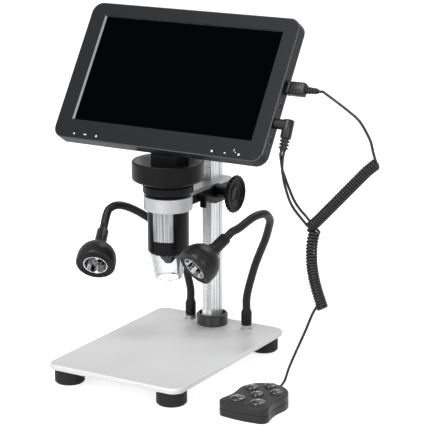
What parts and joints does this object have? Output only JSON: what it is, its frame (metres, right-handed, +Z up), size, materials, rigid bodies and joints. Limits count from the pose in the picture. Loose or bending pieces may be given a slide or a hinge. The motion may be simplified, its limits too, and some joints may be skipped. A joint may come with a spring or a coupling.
{
  "type": "lcd digital microscope",
  "caption": "Digital microscope on a flat stand with a rack column, a tilting flat display, gooseneck lamps and a wired remote control.",
  "frame": {"origin": "where the optical axis meets the top face of the base plate", "axes": "+X to the right as seen by someone in front of the display, +Y to the back where the column stands, +Z up along the optical axis"},
  "size_m": [0.2584, 0.162, 0.2667],
  "materials": {
    "brushed_plate": "fine straight brush marks, satin",
    "column_metal": "bright drawn aluminium, satin",
    "cast_silver": "fine blasted silver, satin",
    "foot_rubber": "matte black",
    "steel": "plated, satin",
    "brass": "cut, satin",
    "black_plastic": "moulded, fine grain",
    "wheel_black": "black anodised, satin",
    "panel_silver": "brushed upright, satin",
    "clear": "clear moulded plastic, glossy",
    "lens_glass": "coated, glossy",
    "board": "green solder mask",
    "bezel_plastic": "charcoal, satin",
    "screen": "black, glossy",
    "socket_metal": "tinned, bright",
    "cord_black": "moulded, satin",
    "lamp_rubber": "soft touch, satin",
    "chrome": "mirror",
    "led_white": "clear epoxy over phosphor",
    "remote_shell": "dark grey, satin",
    "key_grey": "dark grey, glossy dome"
  },
  "bodies": {
    "stand": {"base_plate": "brushed_plate", "feet": "foot_rubber", "foot_screws": "steel", "column": "column_metal", "column_collar": "black_plastic", "column_bolt": "steel", "lamp_studs": "steel", "remote_base": "remote_shell", "remote_top": "remote_shell", "remote_board": "board"},
    "carriage": {"arm": "cast_silver", "pinion_cover": "black_plastic", "scope_shell": "black_plastic", "shell_panel": "panel_silver", "led_ring": "board", "shroud": "clear", "sensor_board": "board", "neck": "black_plastic", "usb_wire": "cord_black", "coil_upper": "cord_black", "coil_lower": "cord_black", "dc_lead_a": "cord_black", "dc_lead_b": "cord_black", "remote_wire": "cord_black"},
    "focus_pinion": {"pinion": "brass", "focus_knob": "black_plastic"},
    "clamp": {"clamp_screw": "black_plastic"},
    "wheel": {"focus_wheel": "wheel_black"},
    "lens_unit": {"lens_carrier": "black_plastic", "lens": "lens_glass"},
    "display": {"bezel": "bezel_plastic", "lcd_panel": "screen", "rear_cover": "bezel_plastic", "rear_screws": "steel", "main_board": "board", "side_sockets": "socket_metal", "hinge_yoke": "black_plastic", "hinge_pin": "steel", "usb_plug": "cord_black", "dc_plug": "cord_black"},
    "lamp_left_arm": {"lamp_base_left": "black_plastic", "gooseneck_left": "lamp_rubber"},
    "lamp_left_head": {"lamp_sleeve_left": "lamp_rubber", "lamp_shell_left": "lamp_rubber", "reflector_left": "chrome", "lamp_led_left": "led_white"},
    "lamp_right_arm": {"lamp_base_right": "black_plastic", "gooseneck_right": "lamp_rubber"},
    "lamp_right_head": {"lamp_sleeve_right": "lamp_rubber", "lamp_shell_right": "lamp_rubber", "reflector_right": "chrome", "lamp_led_right": "led_white"},
    "key_left": {"key_left": "key_grey"},
    "key_back": {"key_back": "key_grey"},
    "key_right": {"key_right": "key_grey"},
    "key_centre": {"key_centre": "key_grey"},
    "key_front_left": {"key_front_left": "key_grey"},
    "key_front_right": {"key_front_right": "key_grey"}
  },
  "joints": [
    {"name": "column_slide", "type": "slide", "parent": "stand", "child": "carriage", "axis": [0, 0, 1], "range_m": [-0.038, 0.038], "deforming": ["remote_wire"]},
    {"name": "focus_turn", "type": "hinge", "parent": "carriage", "child": "focus_pinion", "pos_m": [0, 0.0515, 0.1115], "axis": [-1, 0, 0], "range_deg": [-484, 484]},
    {"name": "clamp_turn", "type": "hinge", "parent": "carriage", "child": "clamp", "pos_m": [0, 0.02795, 0.1115], "axis": [1, 0, 0], "range_deg": [-90, 90]},
    {"name": "wheel_turn", "type": "hinge", "parent": "carriage", "child": "wheel", "pos_m": [0, 0, 0.1375], "axis": [0, 0, 1], "range_deg": [-150, 150]},
    {"name": "lens_slide", "type": "slide", "parent": "carriage", "child": "lens_unit", "axis": [0, 0, 1], "range_m": [-0.003, 0.003]},
    {"name": "display_tilt", "type": "hinge", "parent": "carriage", "child": "display", "pos_m": [0, 0.00598, 0.17053], "axis": [-1, 0, 0], "range_deg": [-8, 24], "deforming": ["usb_wire", "dc_lead_a", "dc_lead_b"]},
    {"name": "lamp_left_swing", "type": "hinge", "parent": "stand", "child": "lamp_left_arm", "pos_m": [-0.021, 0.066, 0.002], "axis": [0, 0, 1], "range_deg": [-12, 12]},
    {"name": "lamp_left_tilt", "type": "hinge", "parent": "lamp_left_arm", "child": "lamp_left_head", "pos_m": [-0.05354, -0.00813, 0.08571], "axis": [0.9259, 0.3778, 0], "range_deg": [-15, 15], "deforming": ["gooseneck_left"]},
    {"name": "lamp_right_swing", "type": "hinge", "parent": "stand", "child": "lamp_right_arm", "pos_m": [0.0302, 0.066, 0.002], "axis": [0, 0, -1], "range_deg": [-12, 12]},
    {"name": "lamp_right_tilt", "type": "hinge", "parent": "lamp_right_arm", "child": "lamp_right_head", "pos_m": [0.05228, -0.00317, 0.09365], "axis": [0.9385, -0.3453, 0], "range_deg": [-15, 15], "deforming": ["gooseneck_right"]},
    {"name": "key_left_press", "type": "slide", "parent": "stand", "child": "key_left", "axis": [0, 0, -1], "range_m": [0, 0.0008], "stiffness_N_per_m": 300, "springref_m": -0.001},
    {"name": "key_back_press", "type": "slide", "parent": "stand", "child": "key_back", "axis": [0, 0, -1], "range_m": [0, 0.0008], "stiffness_N_per_m": 300, "springref_m": -0.001},
    {"name": "key_right_press", "type": "slide", "parent": "stand", "child": "key_right", "axis": [0, 0, -1], "range_m": [0, 0.0008], "stiffness_N_per_m": 300, "springref_m": -0.001},
    {"name": "key_centre_press", "type": "slide", "parent": "stand", "child": "key_centre", "axis": [0, 0, -1], "range_m": [0, 0.0008], "stiffness_N_per_m": 300, "springref_m": -0.001},
    {"name": "key_front_left_press", "type": "slide", "parent": "stand", "child": "key_front_left", "axis": [0, 0, -1], "range_m": [0, 0.0008], "stiffness_N_per_m": 300, "springref_m": -0.001},
    {"name": "key_front_right_press", "type": "slide", "parent": "stand", "child": "key_front_right", "axis": [0, 0, -1], "range_m": [0, 0.0008], "stiffness_N_per_m": 300, "springref_m": -0.001}
  ],
  "couplings": [
    {"joint": "focus_turn", "follows": "column_slide", "rad_per_m": 222.22},
    {"joint": "lens_slide", "follows": "wheel_turn", "m_per_rad": 0.0011421}
  ]
}
